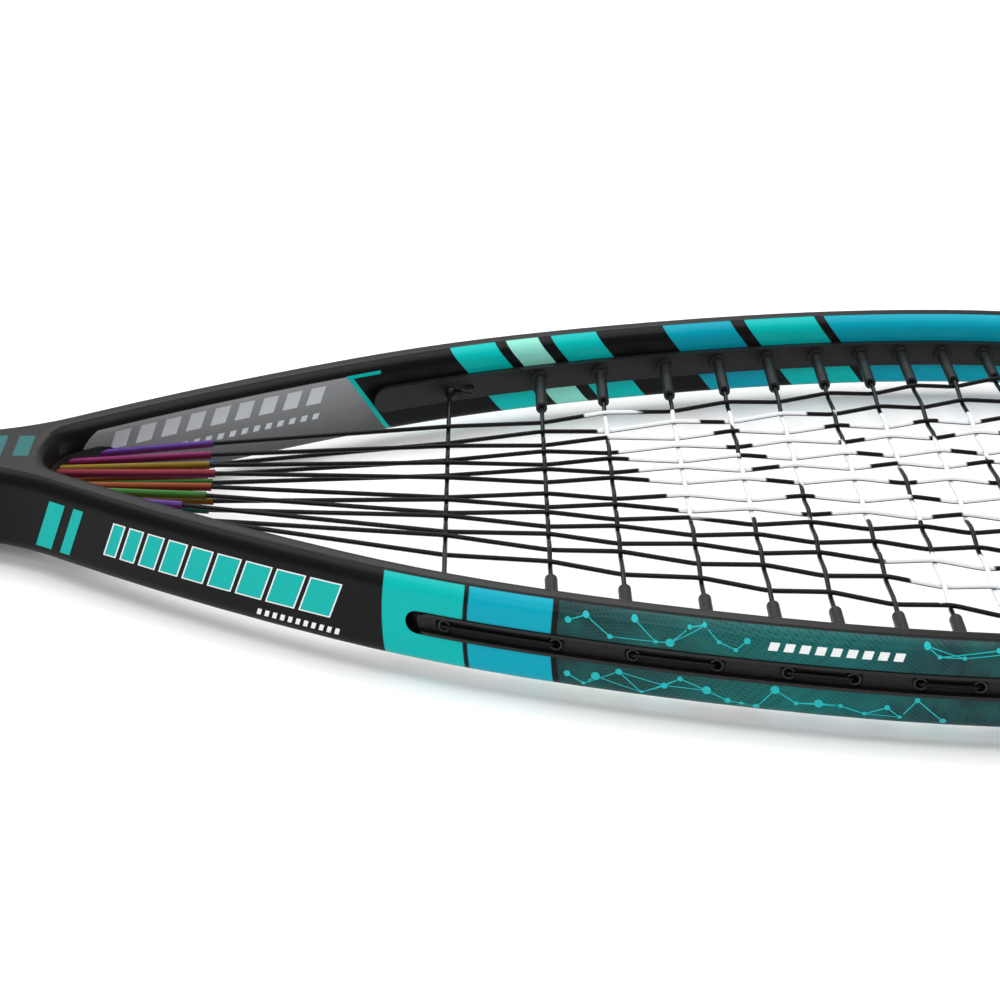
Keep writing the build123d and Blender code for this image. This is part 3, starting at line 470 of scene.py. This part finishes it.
m_teal = Marks("marks_teal", flat_mat("mark_teal", (0.0, 0.40, 0.37), (0.0, 0.46, 0.42)))
m_white = Marks("marks_white", flat_mat("mark_white", (0.78, 0.80, 0.80), (0.86, 0.87, 0.87)))
m_cyan = Marks("marks_cyan", flat_mat("mark_cyan", (0.01, 0.38, 0.40), (0.02, 0.50, 0.52)))
rng = random.Random(11)
for side in (-1, 1):
    # two tall slanted bars at the neck end
    for x0, w in ((-95.0, 4.2), (-88.4, 2.6)):
        m_teal.quad([(x0, 8.0), (x0 + w, 8.0), (x0 + w + 4.4, 21.0), (x0 + 4.4, 21.0)], side, 0.035, 5, 10)
    # row of slanted bars that grow wider towards the head, each with a pale rim
    x = -76.0
    for k in range(9):
        w = 2.6 + 0.55 * k
        z0, z1, sl = 11.6, 20.2, 0.34
        for mk, e, lift in ((m_white, 0.34, 0.02), (m_teal, 0.0, 0.045)):
            mk.quad([(x - e + sl * (0 - e), z0 - e), (x + w + e + sl * (0 - e), z0 - e),
                     (x + w + e + sl * (z1 - z0 + e) - 0.0, z1 + e), (x - e + sl * (z1 - z0 + e), z1 + e)], side, lift, 6, 8)
        x += w + 1.7
    for k in range(11):
        xx = -37.0 + 1.9 * k
        m_white.quad([(xx, 7.4), (xx + 1.0, 7.4), (xx + 1.45, 9.0), (xx + 0.45, 9.0)], side, 0.03, 2, 2)
    # row of pale ticks on the long panel
    for k in range(9):
        xx = 80.0 + 3.4 * k
        m_white.quad([(xx, 20.4), (xx + 2.1, 20.4), (xx + 2.7, 22.4), (xx + 0.6, 22.4)], side, 0.05, 2, 2)
    # network of joined dots above and below the strip
    for band, rows, x1 in (("up", (19.3, 21.6, 23.9), 205.0), ("low", (6.6, 8.6, 10.9), 120.0)):
        last = None
        x = 36.0
        near = []
        while x < x1:
            z = rows[rng.randrange(3)] + rng.uniform(-0.5, 0.5)
            if band == "up" and 76.0 < x < 112.0:
                x += 4.0
                last = None
                continue
            pnt = (x, z)
            m_cyan.dot(pnt, rng.choice((0.5, 0.62, 1.0, 0.75)), side, 0.05)
            if last is not None and rng.random() < 0.82:
                m_cyan.line(last, pnt, 0.26, side, 0.04)
            if len(near) > 2 and rng.random() < 0.4:
                m_cyan.line(near[-2], pnt, 0.2, side, 0.04)
            near.append(pnt)
            last = pnt
            x += rng.uniform(2.2, 6.2) * (1.0 if x < 120 else 1.3)
for mk in (m_teal, m_white, m_cyan):
    mk.make("carbon_frame")


# ------------------------------------------------------------------ raised lips round the string holes of the outer strip
def cluster(vals, gap):
    vals = sorted(vals)
    out, cur = [], [vals[0]]
    for v in vals[1:]:
        if v - cur[-1] > gap:
            out.append(sum(cur) / len(cur))
            cur = []
        cur.append(v)
    return out + [sum(cur) / len(cur)]


cross_xs = cluster([v.co.x / MM for v in NODES["cross_string"].data.vertices if abs(v.co.y) < 0.006], 4.0)
strip_x0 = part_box("outer_strip")[0].x / MM
lip_v, lip_f = [], []
NU, NV, RA, RB = 20, 10, 1.35, 0.42
for side in (-1, 1):
    for x in cross_xs:
        up, dn = on_hoop(x, ZC + 4.2, side, 0.0), on_hoop(x, ZC - 4.2, side, 0.0)
        if up is None or dn is None or x < strip_x0 + 2.5:
            continue
        mid = (up + dn) / 2
        a_, b_ = on_hoop(x - 0.8, ZC + 4.2, side, 0.0), on_hoop(x + 0.8, ZC + 4.2, side, 0.0)
        if a_ is None or b_ is None:
            continue
        t_ = (b_ - a_).normalized()
        n_ = t_.cross(Vector((0, 0, 1))) * (1 if side < 0 else -1)
        if n_.y * side < 0:
            n_ = -n_
        c_ = mid - n_ * 1.05 * MM
        base = len(lip_v)
        for i in range(NU):
            u_ = 2 * math.pi * i / NU
            rad = t_ * math.cos(u_) + Vector((0, 0, 1)) * math.sin(u_)
            for j in range(NV):
                w_ = 2 * math.pi * j / NV
                lip_v.append(tuple(c_ + rad * (RA + RB * math.cos(w_)) * MM + n_ * (RB * 1.15 * math.sin(w_)) * MM))
        for i in range(NU):
            for j in range(NV):
                lip_f.append((base + i * NV + j, base + ((i + 1) % NU) * NV + j, base + ((i + 1) % NU) * NV + (j + 1) % NV, base + i * NV + (j + 1) % NV))
me = bpy.data.meshes.new("strip_lips")
me.from_pydata(lip_v, [], lip_f)
me.update()
for q in me.polygons:
    q.use_smooth = True
lips = bpy.data.objects.new("strip_lips", me)
bpy.context.scene.collection.objects.link(lips)
me.materials.append(grained("strip_lip_grain", (0.006, 0.006, 0.0066), 0.38, 5.0, 0.3, 0.0001, 0.35, 2.2))
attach(lips, "racquet")
print("crosses found", len(cross_xs))


# ------------------------------------------------------------------ grip: spiral wrap and ridged collar
def smoothstep(a, b, x):
    t = np.clip((x - a) / (b - a), 0, 1)
    return t * t * (3 - 2 * t)


def tube_mesh(name, xs, section, n, mat, node):
    th = np.linspace(0, 2 * np.pi, n, endpoint=False)
    V, F = [], []
    for x in xs:
        rho = section(x[1], th)
        for t, q in zip(th, rho):
            V.append((x[0] * MM, q * math.cos(t) * MM, (ZC + q * math.sin(t)) * MM))
    for i in range(len(xs) - 1):
        for j in range(n):
            a, b = i * n + j, i * n + (j + 1) % n
            F.append((a, b, b + n, a + n))
    me = bpy.data.meshes.new(name)
    me.from_pydata(V, [], F)
    me.update()
    o = bpy.data.objects.new(name, me)
    bpy.context.scene.collection.objects.link(o)
    me.materials.append(mat)
    for p in me.polygons:
        p.use_smooth = True
    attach(o, "racquet")
    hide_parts(node)
    return o


def oct_rho(th, a, b, dgl, p=34.0):
    s_ = 0
    for phi, d_ in ((0, a), (math.pi / 2, b), (math.pi, a), (3 * math.pi / 2, b), (math.pi / 4, dgl), (3 * math.pi / 4, dgl), (5 * math.pi / 4, dgl), (7 * math.pi / 4, dgl)):
        s_ = s_ + np.maximum(np.cos(th - phi) / d_, 0.0) ** p
    return s_ ** (-1.0 / p)


g_lo, g_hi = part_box("grip_wrap")
GX0, GX1 = g_lo.x / MM, g_hi.x / MM
GA, GB = (g_hi.y - g_lo.y) / 2 / MM, (g_hi.z - g_lo.z) / 2 / MM
PITCH = 23.0


def wrap_section(x, th):
    f = np.mod((x - GX0) / PITCH + th / (2 * np.pi), 1.0) * PITCH
    lap = 1 - smoothstep(3.0, 4.6, f)                       # the edge that laps over the turn before
    seam = np.exp(-(f / 0.55) ** 2) + np.exp(-((f - PITCH) / 0.55) ** 2)
    stitch = np.exp(-((f - 1.7) / 0.28) ** 2)
    pad = 0.5 - 0.5 * np.cos(2 * np.pi * np.clip((f - 4.6) / (PITCH - 4.6), 0, 1))
    h = -0.42 + 0.38 * lap - 0.55 * seam - 0.12 * stitch + 0.12 * pad
    return oct_rho(th, GA, GB, (GA + GB - 6.9) / math.sqrt(2)) + np.minimum(h, -0.02)


def grip_mat():
    m = Mat("grip_wrap_skin")
    P, X, Y, Z = m.obj()
    n1 = m.noise(3.0, 5.0, 0.65)
    holes = m.voronoi(0.42, "F1", "Distance", None, 0.15)
    pit_dent_and_shade = m.inv(m.over(holes, 0.22, 0.12))
    col = m.mix(m.noise(0.3, 2.0), (0.010, 0.010, 0.011), (0.018, 0.018, 0.019))
    # perforation pits painted near black: painted shade inside the holes
    col = m.mix(m.mul(pit_dent_and_shade, 0.8), col, (0.003, 0.003, 0.003))
    m.bump(m.sub(m.mul(n1, 0.5), pit_dent_and_shade), 0.5, 0.0003)
    return m.out(col, m.f("MULTIPLY_ADD", n1, 0.25, 0.5), spec=0.3)


xs = [(GX0 + 0.02, GX0)] + [(q, q) for q in np.linspace(GX0 + 0.02, GX1 - 0.02, 420)]
tube_mesh("grip_spiral", xs, wrap_section, 144, grip_mat(), "grip_wrap")

c_lo, c_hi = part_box("grip_collar")
CX0, CX1 = c_lo.x / MM, c_hi.x / MM
CA, CB = (c_hi.y - c_lo.y) / 2 / MM, (c_hi.z - c_lo.z) / 2 / MM


def collar_section(x, th):
    t = (x - CX0) / (CX1 - CX0)
    ridge = 0.5 - 0.5 * math.cos(2 * math.pi * 4 * min(max((t - 0.12) / 0.70, 0), 1))
    end0 = 1 - math.sqrt(max(0.0, 1 - (max(0.0, 0.09 - t) / 0.09) ** 2))
    end1 = 1 - math.sqrt(max(0.0, 1 - (max(0.0, t - 0.82) / 0.18) ** 2))
    base = oct_rho(th, CA, CB, (CA + CB - 7.4) / math.sqrt(2), 26.0)
    low = oct_rho(th, 13.1, 11.1, 13.1, 26.0)
    rho = base - 0.75 * (1 - ridge) * (1 if 0.12 < t < 0.82 else 1.0) - 0.02
    rho = rho - 1.0 * end0
    return rho * (1 - end1) + low * end1


xs = [(CX0 + 0.02, CX0)] + [(q, q) for q in np.linspace(CX0 + 0.02, CX1 - 0.02, 110)]
tube_mesh("collar_ridged", xs, collar_section, 128, COLLAR, "grip_collar")

for q, w in (("butt_cap", 0.0007), ("end_plug", 0.0003), ("throat_grommet", 0.0002)):
    b_ = NODES[q].modifiers.new("soft_edges", "BEVEL")
    b_.width, b_.segments, b_.limit_method, b_.angle_limit = w, 3, "ANGLE", math.radians(40)
    b_.harden_normals = False

# ------------------------------------------------------------------ stage
bpy.ops.mesh.primitive_plane_add(size=14.0, location=(0.0, 2.0, -0.0004))
floor = bpy.context.object
floor.name = "floor"
fm = Mat("floor_pale")
fm.out(fm.mix(fm.noise(0.02, 2.0), (0.91, 0.91, 0.91), (0.93, 0.93, 0.93)), 0.9, spec=0.1)
fm.b.inputs["Emission Color"].default_value = (1.0, 1.0, 1.0, 1.0)
fm.b.inputs["Emission Strength"].default_value = 0.12
floor.data.materials.append(fm.m)

world = bpy.data.worlds.new("world")
bpy.context.scene.world = world
world.use_nodes = True
world.node_tree.nodes["Background"].inputs[0].default_value = (1.0, 1.0, 1.0, 1.0)
world.node_tree.nodes["Background"].inputs[1].default_value = 0.36


def area(name, loc, target, size, power, color=(1, 1, 1)):
    L = bpy.data.lights.new(name, "AREA")
    L.shape = "RECTANGLE"
    L.size, L.size_y = size
    L.energy = power
    L.color = color
    o = bpy.data.objects.new(name, L)
    bpy.context.scene.collection.objects.link(o)
    o.location = loc
    o.rotation_euler = (Vector(target) - Vector(loc)).to_track_quat("-Z", "Y").to_euler()
    return o


area("top", (0.05, 0.25, 1.7), (0.05, 0.2, 0.0), (2.4, 2.0), 38.0)
area("front", (-0.5, -1.15, 0.95), (0.05, 0.0, 0.0), (1.0, 0.5), 6.0)
area("back", (-0.3, 1.3, 0.75), (0.0, 0.0, 0.0), (1.3, 0.25), 3.0)

cam = bpy.data.cameras.new("cam")
cam.sensor_width = 36.0
cam.lens = 3002.5 / 1000.0 * 36.0
cam.clip_start, cam.clip_end = 0.02, 50.0
cam_o = bpy.data.objects.new("cam", cam)
bpy.context.scene.collection.objects.link(cam_o)
r = Vector((0.9999476546757655, -0.005896977536825094, 0.008361433152653398))
u = Vector((-0.005595151376357799, 0.3690409822070408, 0.9293962813206961))
d = Vector((0.008566340497070644, 0.9293944152552203, -0.3689886701551898))
R = Matrix((r, u, -d)).transposed().to_4x4()
R.translation = Vector((0.01469, -0.71846, 0.29682))
cam_o.matrix_world = R
bpy.context.scene.camera = cam_o
bpy.context.scene.view_settings.view_transform = "Standard"
bpy.context.scene.view_settings.look = "None"

bpy.context.view_layer.update()
